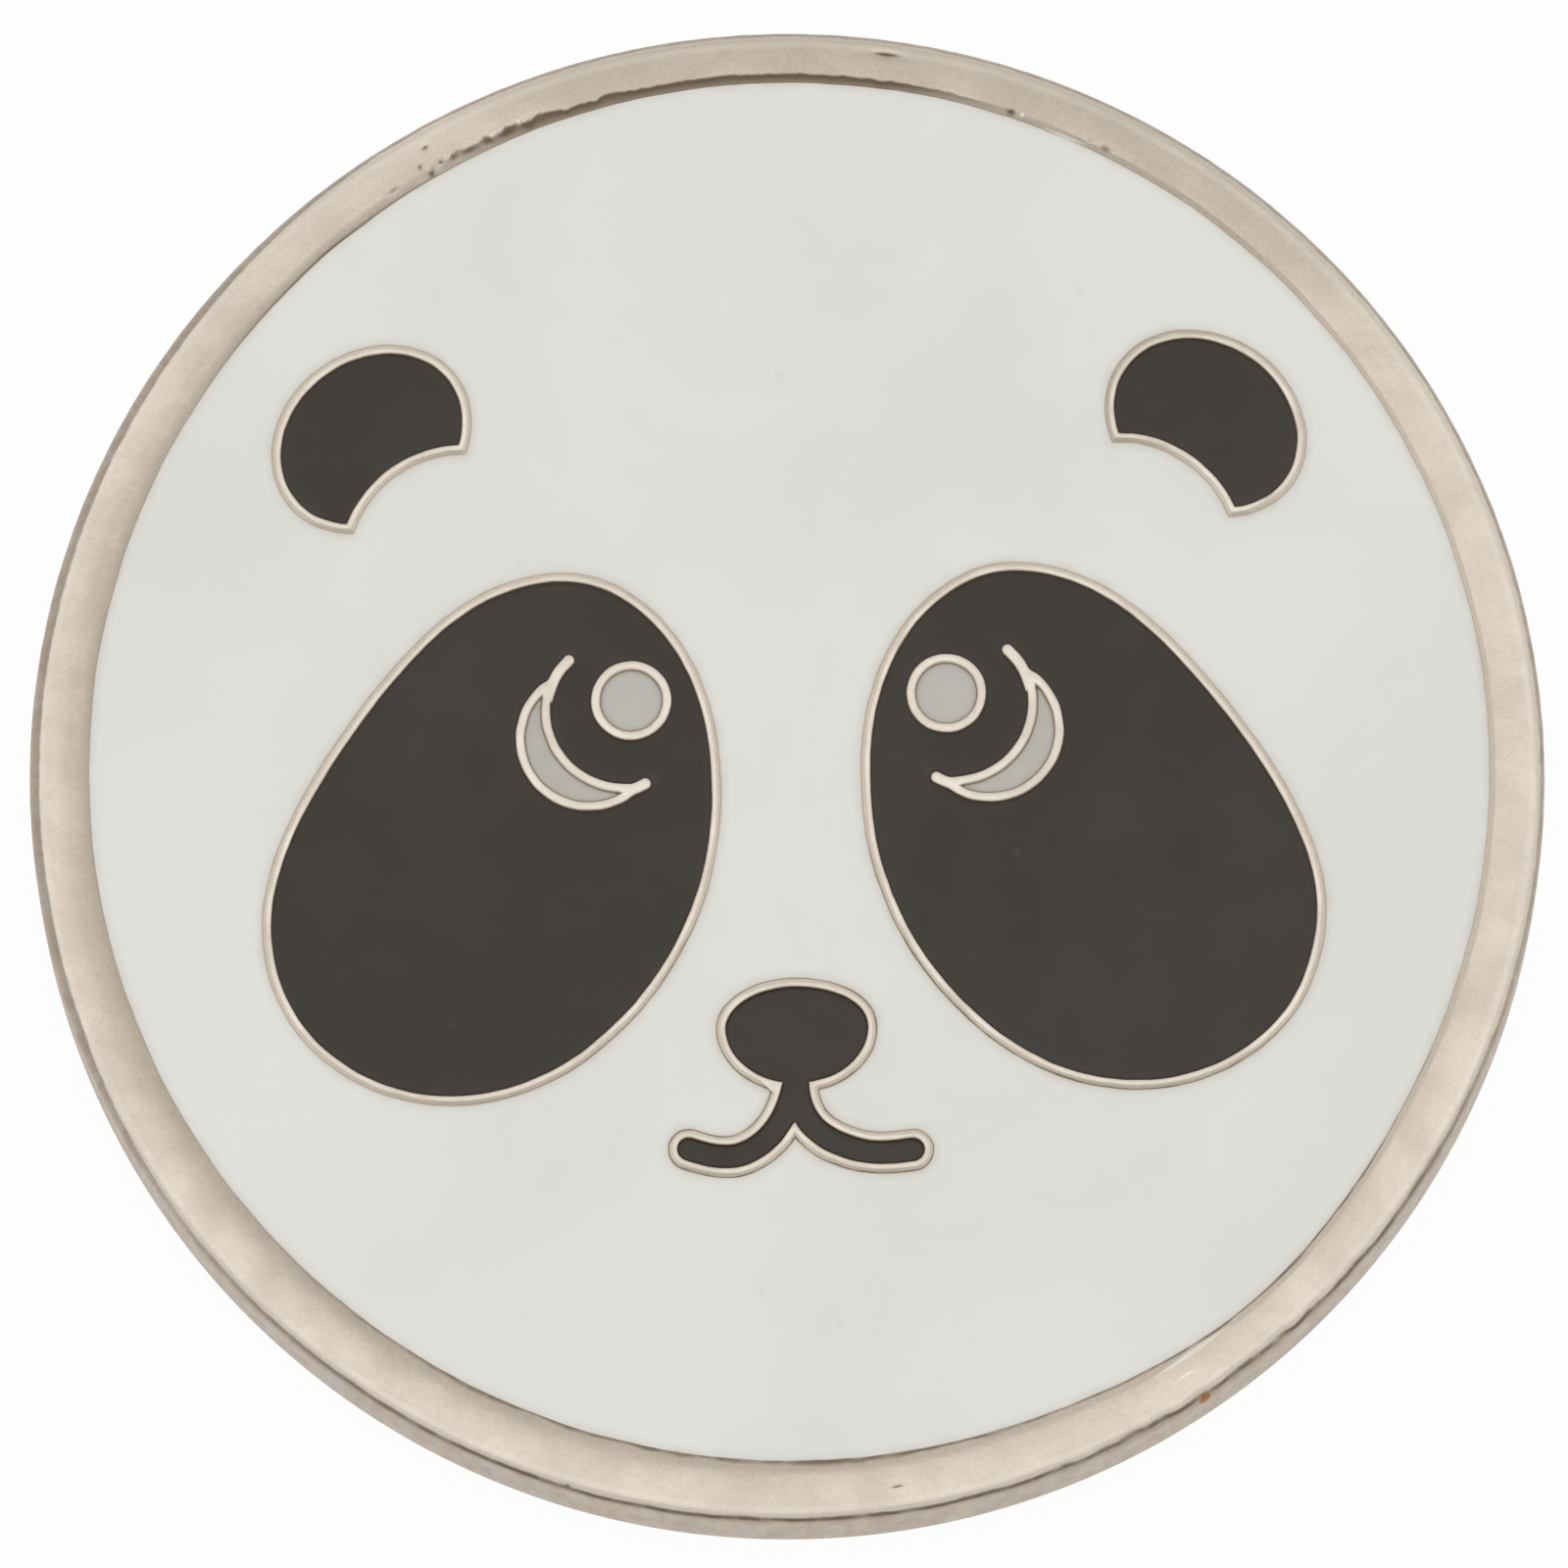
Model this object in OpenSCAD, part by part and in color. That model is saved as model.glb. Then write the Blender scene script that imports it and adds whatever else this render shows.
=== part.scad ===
// Golf ball marker: a round struck metal disc with a panda's face in coloured enamel.
//
// One piece of metal carries everything. Its front is struck into cells that lie
// below the rim, with a thin wall of the same metal round each cell, and every
// cell holds its own fill of enamel. Left and right are as seen from the front.
//
// Units are millimetres. The back lies on z = 0, centred on the origin. +Z points
// out of the front and +Y to the top of the head. Places on the face are given
// from its middle line outwards and from the middle of the disc upwards.

/* [Disc] */
// Diameter over the rim
disc_d = 25; // [24:0.5:40]
// Thickness from the back to the top of the rim
disc_t = 2; // [1.2:0.1:4]
// Radius of the rounded outer edges, front and back
edge_r = 0.17; // [0.05:0.01:0.4]
// Width of the rim, from the outside of the disc to the enamel
rim_w = 0.94; // [0.7:0.02:1.4]
// Width of the slope that leads from the top of the rim down to the enamel
rim_slope_w = 0.24; // [0.05:0.01:0.3]

/* [Enamel] */
// Depth of the cells below the top of the rim
cell_depth = 0.5; // [0.2:0.05:0.8]
// How far the enamel lies below the top of the rim
enamel_drop = 0.06; // [0.02:0.01:0.15]
// Width of the metal walls between the cells
wall_w = 0.16; // [0.1:0.01:0.24]

/* [Face] */
// Sideways shift of the face's middle line from the middle of the disc
face_x = 0.06; // [-0.3:0.02:0.3]

/* [Ears] */
// Long way across an ear
ear_l = 3.2; // [2:0.1:4]
// Short way across an ear, before the bite is taken out of it
ear_w = 2.62; // [2:0.02:4]
// Fall of an ear's long way towards the outside, in degrees
ear_lean = 38; // [0:1:60]
// Radius of the bite out of an ear's lower side
bite_r = 2.1; // [1:0.1:4]
// Distance from the middle of an ear to the middle of its bite
bite_off = 2.68; // [2:0.02:5]
// Direction of the bite, in degrees below the way to the middle line
bite_dir = 56; // [0:1:90]
// Middle of the left ear, out from the middle line
left_ear_x = 6.8; // [4:0.1:8]
// Middle of the left ear, up from the middle of the disc
left_ear_y = 5.78; // [3:0.02:7]
// Middle of the right ear, out from the middle line
right_ear_x = 7; // [4:0.1:8]
// Middle of the right ear, up from the middle of the disc
right_ear_y = 5.72; // [3:0.02:7]

/* [Eyes] */
// Radius of the round glint's enamel
glint_r = 0.51; // [0.3:0.01:0.6]
// Middle of the round glint, out from the middle line
glint_x = 2.6; // [2.2:0.05:2.8]
// Middle of the round glint, up from the middle of the disc
glint_y = 1.28; // [1:0.02:1.5]
// Radius of the outer side of the crescent's enamel
crescent_r = 1.06; // [0.9:0.02:1.2]
// Middle of the outer side, out from the middle line
crescent_x = 3.31; // [3.2:0.01:3.6]
// Middle of the outer side, up from the middle of the disc
crescent_y = 0.66; // [0.2:0.02:0.8]
// Radius of the hollow side of the crescent's enamel
hollow_r = 1.39; // [1.3:0.01:1.6]
// Middle of the hollow side, out from the middle line
hollow_x = 2.71; // [2.5:0.01:2.8]
// Middle of the hollow side, up from the middle of the disc
hollow_y = 1.12; // [1:0.02:1.3]
// Width of the solid metal tails of the crescent
tail_w = 0.2; // [0.12:0.02:0.3]

/* [Nose and mouth] */
// Width of the nose
nose_w = 2.33; // [1.5:0.01:3]
// Height of the nose above its widest line
nose_up = 0.67; // [0.4:0.01:1]
// Depth of the nose below its widest line
nose_down = 0.93; // [0.8:0.01:1.2]
// Widest line of the nose, up from the middle of the disc
nose_y = -4.25; // [-4.5:0.05:-4]
// Width of the line that draws the mouth
mouth_w = 0.37; // [0.2:0.01:0.45]

/* [Hidden] */
$fn = 96;

disc_r = disc_d / 2;
field_r = disc_r - rim_w;
floor_z = disc_t - cell_depth;
enamel_z = disc_t - enamel_drop;
enamel_t = enamel_z - floor_z;
// Cuts run this far past the top of the rim
over = 1;

// Straight pieces between two neighbouring points of a soft curve
curve_steps = 8;
// Straight pieces round a full oval
oval_steps = 96;
// Straight pieces round the end of a stroke
cap_steps = 12;

LEFT = -1;
RIGHT = 1;

metal = [0.87, 0.83, 0.77];
black = [0.24, 0.22, 0.20];
white = [0.85, 0.86, 0.83];
grey = [0.74, 0.73, 0.71];

// The eye patch is a soft closed curve inside these corners, which run clockwise
// on the right half of the face: out from the middle line, and up.
patch_corners = [
    [3.25, 3.6], [5.35, 3], [6.8, 1.4], [7.95, -0.2], [8.85, -2.2], [8.25, -4.3],
    [6.4, -5.4], [4.3, -5.2], [2.6, -3.9], [1.5, -2.1], [1.2, 0], [1.6, 2.1]
];

// The middle line of each tail, from inside the crescent to its tip
upper_tail = [[4, 1.3], [3.9, 1.62], [3.78, 1.82], [3.62, 1.98]];
lower_tail = [[3.1, -0.32], [2.75, -0.27], [2.55, -0.2], [2.4, -0.12]];

// The middle line of each half of the mouth, from inside the nose to its corner.
// The two halves differ, so each has its own points from the middle line outwards.
left_mouth = [
    [0, -4.9], [0.08, -5.35], [0.24, -5.75], [0.55, -6.17], [1, -6.41], [1.45, -6.38],
    [1.82, -6.25]
];
right_mouth = [
    [0, -4.9], [-0.04, -5.3], [0.08, -5.78], [0.4, -6.1], [0.85, -6.31], [1.35, -6.4],
    [1.86, -6.34]
];

// ---- Curves ----

// A point on the soft curve that four neighbouring corners share, at t from 0 to 1
function soft_point(a, b, c, d, t) =
    (a * pow(1 - t, 3)
     + b * (3 * pow(t, 3) - 6 * pow(t, 2) + 4)
     + c * (-3 * pow(t, 3) + 3 * pow(t, 2) + 3 * t + 1)
     + d * pow(t, 3)) / 6;

// A closed soft curve inside the given corners
function soft_loop(corners) =
    let (n = len(corners))
    [for (i = [0 : n - 1], s = [0 : curve_steps - 1])
        soft_point(
            corners[i],
            corners[(i + 1) % n],
            corners[(i + 2) % n],
            corners[(i + 3) % n],
            s / curve_steps)];

// An open soft curve that starts at the first corner and ends at the last
function soft_line(corners) =
    let (
        last = len(corners) - 1,
        before = 2 * corners[0] - corners[1],
        after = 2 * corners[last] - corners[last - 1],
        all = concat([before], corners, [after])
    )
    concat(
        [for (i = [0 : last - 1], s = [0 : curve_steps - 1])
            soft_point(all[i], all[i + 1], all[i + 2], all[i + 3], s / curve_steps)],
        [corners[last]]);

// Unit vector to the left of the way from a to b
function left_of(a, b) =
    let (d = b - a)
    [-d.y, d.x] / norm(d);

// A clockwise closed curve, moved outwards by a distance
function grown(loop, by) =
    let (n = len(loop))
    [for (i = [0 : n - 1])
        loop[i] + by * left_of(loop[(i + n - 1) % n], loop[(i + 1) % n])];

// An oval with its own height above and below its widest line
function oval(half_w, up, down) =
    [for (i = [0 : oval_steps - 1])
        let (a = 360 * i / oval_steps)
        [half_w * cos(a), (a < 180 ? up : down) * sin(a)]];

// The outline of a pen stroke of a given width along a line, with a round far end
function stroke(line, width) =
    let (
        last = len(line) - 1,
        half = width / 2,
        side = [for (i = [0 : last])
            half * left_of(line[max(i - 1, 0)], line[min(i + 1, last)])],
        end_dir = atan2(side[last].y, side[last].x)
    )
    concat(
        [for (i = [0 : last]) line[i] + side[i]],
        [for (s = [1 : cap_steps - 1])
            let (a = end_dir - 180 * s / cap_steps)
            line[last] + half * [cos(a), sin(a)]],
        [for (i = [last : -1 : 0]) line[i] - side[i]]);

// ---- Flat shapes, each grown outwards by a distance where a wall goes round it ----

// Puts a shape drawn for the right half of the face on either side
module on_side(side)
    translate([face_x, 0])
    mirror([side == LEFT ? 1 : 0, 0, 0])
    children();

module ear_shape(side, by = 0) {
    x = side == LEFT ? left_ear_x : right_ear_x;
    y = side == LEFT ? left_ear_y : right_ear_y;
    on_side(side)
    translate([x, y])
    difference() {
        rotate(-ear_lean)
        polygon(oval(ear_l / 2 + by, ear_w / 2 + by, ear_w / 2 + by));
        rotate(180 + bite_dir)
        translate([bite_off, 0])
        circle(bite_r - by);
    }
}

module patch_shape(side, by = 0)
    on_side(side)
    polygon(grown(soft_loop(patch_corners), by));

module glint_shape(side, by = 0)
    on_side(side)
    translate([glint_x, glint_y])
    circle(glint_r + by);

module crescent_shape(side, by = 0)
    on_side(side)
    difference() {
        translate([crescent_x, crescent_y])
        circle(crescent_r + by);
        translate([hollow_x, hollow_y])
        circle(hollow_r - by);
    }

module tails_shape(side)
    on_side(side)
    for (tail = [upper_tail, lower_tail])
        polygon(stroke(soft_line(tail), tail_w));

module nose_mouth_shape(by = 0)
    offset(r = by)
    union() {
        translate([face_x, nose_y])
        polygon(oval(nose_w / 2, nose_up, nose_down));
        on_side(LEFT)
        polygon(stroke(soft_line(left_mouth), mouth_w));
        on_side(RIGHT)
        polygon(stroke(soft_line(right_mouth), mouth_w));
    }

module field_shape()
    difference() {
        circle(field_r);
        for (side = [LEFT, RIGHT]) {
            ear_shape(side, wall_w);
            patch_shape(side, wall_w);
        }
        nose_mouth_shape(wall_w);
    }

// The patch around the walls of its glint and crescent
module pierced_patch_shape(side)
    difference() {
        patch_shape(side);
        glint_shape(side, wall_w);
        crescent_shape(side, wall_w);
        tails_shape(side);
    }

// ---- Solids ----

// The disc before it is struck: a coin with rounded edges
module blank()
    rotate_extrude() {
        square([disc_r - edge_r, disc_t]);
        translate([0, edge_r])
        square([disc_r, disc_t - 2 * edge_r]);
        for (z = [edge_r, disc_t - edge_r])
            translate([disc_r - edge_r, z])
            intersection() {
                circle(edge_r);
                translate([0, -edge_r])
                square([edge_r, 2 * edge_r]);
            }
    }

// A cell of a flat shape, cut down to the cells' floor
module cell()
    translate([0, 0, floor_z])
    linear_extrude(cell_depth + over)
    children();

// The enamel that fills a cell of the same shape
module fill()
    translate([0, 0, floor_z])
    linear_extrude(enamel_t)
    children();

// The slope between the top of the rim and the enamel, as a cut
module rim_slope()
    difference() {
        translate([0, 0, enamel_z])
        cylinder(h = enamel_drop, r1 = field_r, r2 = field_r + rim_slope_w);
        cylinder(h = disc_t + over, r = field_r);
    }

// ---- Nodes ----

module struck_disc()
    color(metal)
    difference() {
        blank();
        rim_slope();
        cell() field_shape();
        cell() nose_mouth_shape();
        for (side = [LEFT, RIGHT]) {
            cell() ear_shape(side);
            cell() pierced_patch_shape(side);
            cell() glint_shape(side);
            cell() crescent_shape(side);
        }
    }

module white_field_enamel() color(white) fill() field_shape();

module left_ear_enamel() color(black) fill() ear_shape(LEFT);
module right_ear_enamel() color(black) fill() ear_shape(RIGHT);

module left_eye_patch_enamel() color(black) fill() pierced_patch_shape(LEFT);
module right_eye_patch_enamel() color(black) fill() pierced_patch_shape(RIGHT);

module left_eye_glint_enamel() color(grey) fill() glint_shape(LEFT);
module right_eye_glint_enamel() color(grey) fill() glint_shape(RIGHT);

module left_eye_crescent_enamel() color(grey) fill() crescent_shape(LEFT);
module right_eye_crescent_enamel() color(grey) fill() crescent_shape(RIGHT);

module nose_mouth_enamel() color(black) fill() nose_mouth_shape();

struck_disc();
white_field_enamel();
left_ear_enamel();
right_ear_enamel();
left_eye_patch_enamel();
right_eye_patch_enamel();
left_eye_glint_enamel();
right_eye_glint_enamel();
left_eye_crescent_enamel();
right_eye_crescent_enamel();
nose_mouth_enamel();
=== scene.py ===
"""Ball marker: a struck, nickel-plated disc whose walls hold the enamel of an animal's face."""
import logging
import math
from dataclasses import dataclass, field
from enum import Enum

import bmesh
import bpy
from mathutils import Matrix, Vector, geometry, noise
from mathutils.bvhtree import BVHTree


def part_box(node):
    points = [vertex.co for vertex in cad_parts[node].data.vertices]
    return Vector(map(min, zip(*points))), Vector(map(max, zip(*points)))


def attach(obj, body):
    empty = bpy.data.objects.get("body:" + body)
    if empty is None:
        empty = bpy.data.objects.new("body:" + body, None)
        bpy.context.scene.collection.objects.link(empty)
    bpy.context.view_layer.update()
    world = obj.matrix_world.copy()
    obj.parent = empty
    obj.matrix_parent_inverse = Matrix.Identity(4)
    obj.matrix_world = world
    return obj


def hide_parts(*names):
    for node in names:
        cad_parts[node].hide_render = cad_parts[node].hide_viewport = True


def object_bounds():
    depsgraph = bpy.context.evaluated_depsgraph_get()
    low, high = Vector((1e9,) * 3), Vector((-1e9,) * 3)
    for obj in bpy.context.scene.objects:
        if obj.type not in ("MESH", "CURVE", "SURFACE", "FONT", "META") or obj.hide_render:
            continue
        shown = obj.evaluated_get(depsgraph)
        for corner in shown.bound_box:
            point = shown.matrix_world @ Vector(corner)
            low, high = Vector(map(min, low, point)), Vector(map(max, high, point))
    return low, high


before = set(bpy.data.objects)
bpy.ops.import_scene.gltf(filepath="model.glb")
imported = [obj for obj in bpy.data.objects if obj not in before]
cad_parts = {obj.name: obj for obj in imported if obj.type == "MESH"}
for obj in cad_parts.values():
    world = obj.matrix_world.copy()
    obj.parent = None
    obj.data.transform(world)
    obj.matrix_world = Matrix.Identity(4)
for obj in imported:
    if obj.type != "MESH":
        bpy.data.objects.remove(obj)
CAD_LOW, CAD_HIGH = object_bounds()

log = logging.getLogger("ball_marker")

MM = 0.001
FIELD_NODE = "white_field_enamel"
DISC_NODE = "struck_disc"
INSET_LAYER = "inset"
SHADE_HIGHLIGHT_LAYER = "pit"
VECTOR, FLOAT = "NodeSocketVector", "NodeSocketFloat"

# The hand-cut die: the length and the reach of its two wanders, and the start of their noise.
SLOW_LENGTH, SLOW_REACH = 1.1, 0.012
QUICK_LENGTH, QUICK_REACH = 0.28, 0.007
DIE_SEED = 11
# The field's edge: how far it is off the middle, and where and how far the enamel runs over it.
FIELD_SHIFT = Vector((0.04, 0.09, 0.0))
OVERFLOW_AZIMUTH, OVERFLOW_SPREAD = 309.0, 13.0
OVERFLOW_REACH = 0.15
# Stepping an outline in: the length of its sway, the longest miter and the shortest chord kept,
# the share of the step that must stay clear of other outlines, and the fewest points of a ring.
SWAY_LENGTH = 0.45
SHARPEST_TURN, LONGEST_MITER = 0.3, 2.0
SHORTEST_CHORD = 0.006
CLEAR_SHARE = 0.97
FEWEST_POINTS = 8

Steps = tuple[tuple[float, float], ...]
Colour = tuple[float, float, float]
Socket = bpy.types.NodeSocket
Tree = bpy.types.NodeTree


class Coat(Enum):
    """The finishes of the marker; each value is the record's material slot."""

    NICKEL = "nickel_plate"
    WHITE = "white_enamel"
    BLACK = "black_enamel"
    GREY = "grey_enamel"


# ---------------------------------------------------------------- outlines


def die_wander(place: Vector) -> Vector:
    """Gives how far the hand-cut die strays from its drawing.

    Args:
        place: A point of the face, in millimetres.

    Returns:
        The shift in the plan, in millimetres.
    """
    slow = noise.noise_vector(place / SLOW_LENGTH) * SLOW_REACH
    quick = noise.noise_vector(place / QUICK_LENGTH) * QUICK_REACH
    return Vector((slow.x + quick.x, slow.y + quick.y, 0.0))


def field_offset(place: Vector) -> Vector:
    """Gives how far the white field's edge lies from a centred circle.

    The die sits a little off the middle, and the enamel runs over the edge at one place.

    Args:
        place: The place on that circle, in millimetres.

    Returns:
        The offset in the plan, in millimetres.
    """
    away = (math.degrees(math.atan2(place.y, place.x)) - OVERFLOW_AZIMUTH) % 360
    away = min(away, 360 - away)
    overflow = OVERFLOW_REACH * math.exp(-(away / OVERFLOW_SPREAD) ** 2)
    return FIELD_SHIFT + place.normalized() * overflow


@dataclass
class Outline:
    """A closed outline in the plan, which keeps the material that it bounds on its left.

    Attributes:
        points: Its points in order, in millimetres.
    """

    points: list[Vector]

    def span(self) -> tuple[Vector, Vector]:
        """Measures the outline.

        Returns:
            The lowest and the highest corner of the box around it.
        """
        xs = [p.x for p in self.points]
        ys = [p.y for p in self.points]
        return Vector((min(xs), min(ys), 0.0)), Vector((max(xs), max(ys), 0.0))

    def reach(self) -> float:
        """Returns the diagonal of the outline's span."""
        low, high = self.span()
        return (high - low).length

    def turned(self) -> "Outline":
        """Returns the same outline with the material on its other side."""
        return Outline(self.points[::-1])

    def holds(self, other: "Outline") -> bool:
        """Tells whether another outline's span lies inside this one's.

        Args:
            other: The other outline.

        Returns:
            True if it does.
        """
        low, high = self.span()
        inner_low, inner_high = other.span()
        return all(low[i] <= inner_low[i] and inner_high[i] <= high[i] for i in (0, 1))

    def refined(self, spacing: float = 0.05, corner: float = math.radians(35)) -> "Outline":
        """Rounds the outline between its points and spaces them evenly.

        Args:
            spacing: The distance wanted between points.
            corner: The turn above which a point stays a sharp corner.

        Returns:
            The finer outline.
        """
        here = self.points
        chords = [b - a for a, b in zip(here, here[1:] + here[:1])]
        fine: list[Vector] = []
        for i, chord in enumerate(chords):
            before, after = chords[i - 1], chords[(i + 1) % len(chords)]
            start, end = here[i], here[i] + chord
            leave = self._heading(before, chord, chord, corner)
            arrive = self._heading(chord, after, chord, corner)
            reach = chord.length / 3
            cuts = max(1, round(chord.length / spacing))
            curve = geometry.interpolate_bezier(
                start, start + leave * reach, end - arrive * reach, end, cuts + 1)
            fine += [Vector(p) for p in curve[:-1]]
        return Outline(fine)

    @staticmethod
    def _heading(one: Vector, two: Vector, own: Vector, corner: float) -> Vector:
        """Gives the direction of the curve where two chords meet.

        Args:
            one: The chord before the point.
            two: The chord after it.
            own: The chord that is being rounded, which a corner keeps to.
            corner: The turn above which the point is a corner.

        Returns:
            A unit vector.
        """
        if one.angle(two) > corner:
            return own.normalized()
        return (one.normalized() * two.length + two.normalized() * one.length).normalized()

    def off_centre(self) -> "Outline":
        """Returns the field's edge where the die really set it."""
        return Outline([p + field_offset(p) for p in self.points])

    def struck(self) -> "Outline":
        """Returns the outline as the hand-cut die made it."""
        return Outline([p + die_wander(p) for p in self.points])

    def stepped_in(self, distance: float, fence: "Fence", sway: float = 0.0) -> "Outline | None":
        """Moves the outline into its material.

        Args:
            distance: How far.
            fence: The region's edges; points that come nearer to them are left out.
            sway: The share by which the distance varies along the outline.

        Returns:
            The inner outline, or None where too little is left for one.
        """
        kept: list[Vector] = []
        count = len(self.points)
        for i, here in enumerate(self.points):
            back = (here - self.points[i - 1]).normalized()
            ahead = (self.points[(i + 1) % count] - here).normalized()
            along = (back + ahead).normalized()
            left = Vector((-along.y, along.x, 0.0))
            miter = min(1.0 / max(SHARPEST_TURN, along.dot(back)), LONGEST_MITER)
            reach = distance * (1 + sway * noise.noise(here / SWAY_LENGTH))
            moved = here + left * (reach * miter)
            onward = (moved - kept[-1]).dot(along) if kept else 1.0
            if onward > SHORTEST_CHORD and fence.gap(moved) > CLEAR_SHARE * reach:
                kept.append(moved)
        return Outline(kept) if len(kept) > FEWEST_POINTS else None


class Fence:
    """Upright walls along some outlines, to measure plan distances from."""

    def __init__(self, outlines: list[Outline]) -> None:
        """Raises the walls.

        Args:
            outlines: The outlines to stand them on.
        """
        wall = bmesh.new()
        for outline in outlines:
            _, edges = ring(wall, outline)
            raised = bmesh.ops.extrude_edge_only(wall, edges=edges)["geom"]
            tops = [v for v in raised if isinstance(v, bmesh.types.BMVert)]
            bmesh.ops.translate(wall, vec=(0, 0, 2), verts=tops)
        bmesh.ops.translate(wall, vec=(0, 0, -1), verts=wall.verts)
        self.tree = BVHTree.FromBMesh(wall)
        wall.free()

    def gap(self, place: Vector) -> float:
        """Returns the plan distance from a place to the nearest wall."""
        return self.tree.find_nearest(place)[3]


def ring(bm: bmesh.types.BMesh, outline: Outline) -> tuple[list, list]:
    """Draws an outline as a closed ring of edges.

    Args:
        bm: The mesh to draw in.
        outline: The outline.

    Returns:
        The ring's vertices and its edges.
    """
    verts = [bm.verts.new(p) for p in outline.points]
    edges = [bm.edges.new(pair) for pair in zip(verts, verts[1:] + verts[:1])]
    return verts, edges


def top_outlines(node: str) -> list[Outline]:
    """Reads the outlines of a node's flat top from the frame, the outer one first.

    Args:
        node: The CAD node's name.

    Returns:
        The outlines, refined and with the die's wander in them.
    """
    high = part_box(node)[1]
    sheet = bmesh.new()
    sheet.from_mesh(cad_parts[node].data)
    bmesh.ops.remove_doubles(sheet, verts=sheet.verts, dist=1e-7)
    tops = dict.fromkeys(f for f in sheet.faces if all(v.co.z > high.z - 1e-6 for v in f.verts))
    following = {}
    for face in tops:
        for corner in face.loops:
            if sum(f in tops for f in corner.edge.link_faces) == 1:
                following[corner.vert] = corner.link_loop_next.vert
    outlines = []
    while following:
        vert = next(iter(following))
        points = []
        while vert in following:
            points.append(Vector((vert.co.x / MM, vert.co.y / MM, 0.0)))
            vert = following.pop(vert)
        outlines.append(Outline(points).refined().struck())
    sheet.free()
    outlines.sort(key=Outline.reach, reverse=True)
    return outlines


@dataclass
class Bank:
    """How a raised or poured region rises from one of its outlines.

    Attributes:
        outline: The outline, with the region on its left.
        steps: Pairs of the distance in from the outline and the height there.
        sway: The share by which the distances vary along the outline.
    """

    outline: Outline
    steps: Steps
    sway: float = 0.0


@dataclass
class Plateau:
    """A closed solid on a cell floor: banks along its outlines and a level top between them.

    Attributes:
        banks: The banks, one for each outline.
        floor: The height of the floor, in millimetres.
    """

    banks: list[Bank]
    floor: float

    def build(self, bm: bmesh.types.BMesh) -> None:
        """Adds the solid to a mesh.

        Args:
            bm: The mesh, which must have the inset layer.
        """
        layer = bm.verts.layers.float[INSET_LAYER]
        fence = Fence([bank.outline for bank in self.banks])
        feet, crests, heights = [], [], {}
        for bank in self.banks:
            lower: list = []
            for inset, height in bank.steps:
                line = bank.outline
                if inset:
                    line = bank.outline.stepped_in(inset, fence, bank.sway)
                if line is None:
                    break
                verts, edges = ring(bm, line)
                for vert in verts:
                    vert[layer] = inset
                    heights[vert] = height
                if lower:
                    self._fill(bm, lower + edges)
                else:
                    feet += edges
                lower = edges
            crests += lower
        self._fill(bm, crests)
        for vert, height in heights.items():
            vert.co.z = height
        self._close(bm, feet)

    @staticmethod
    def _fill(bm: bmesh.types.BMesh, edges: list) -> None:
        """Fills flat rings, and what lies between nested ones, with faces.

        Args:
            bm: The mesh.
            edges: The rings' edges.
        """
        bmesh.ops.triangle_fill(bm, use_beauty=True, use_dissolve=False, edges=edges,
                                normal=(0, 0, 1))

    def _close(self, bm: bmesh.types.BMesh, feet: list) -> None:
        """Runs the sides down to the floor and fills the underside.

        Args:
            bm: The mesh.
            feet: The edges of the outlines.
        """
        dropped = bmesh.ops.extrude_edge_only(bm, edges=feet)["geom"]
        bottom = {v for v in dropped if isinstance(v, bmesh.types.BMVert)}
        for vert in bottom:
            vert.co.z = self.floor
        edges = [e for e in dropped if isinstance(e, bmesh.types.BMEdge)]
        rims = [e for e in edges if all(v in bottom for v in e.verts)]
        self._fill(bm, rims)
        for edge in feet + rims:
            edge.smooth = False


# ---------------------------------------------------------------- node wiring


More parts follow.
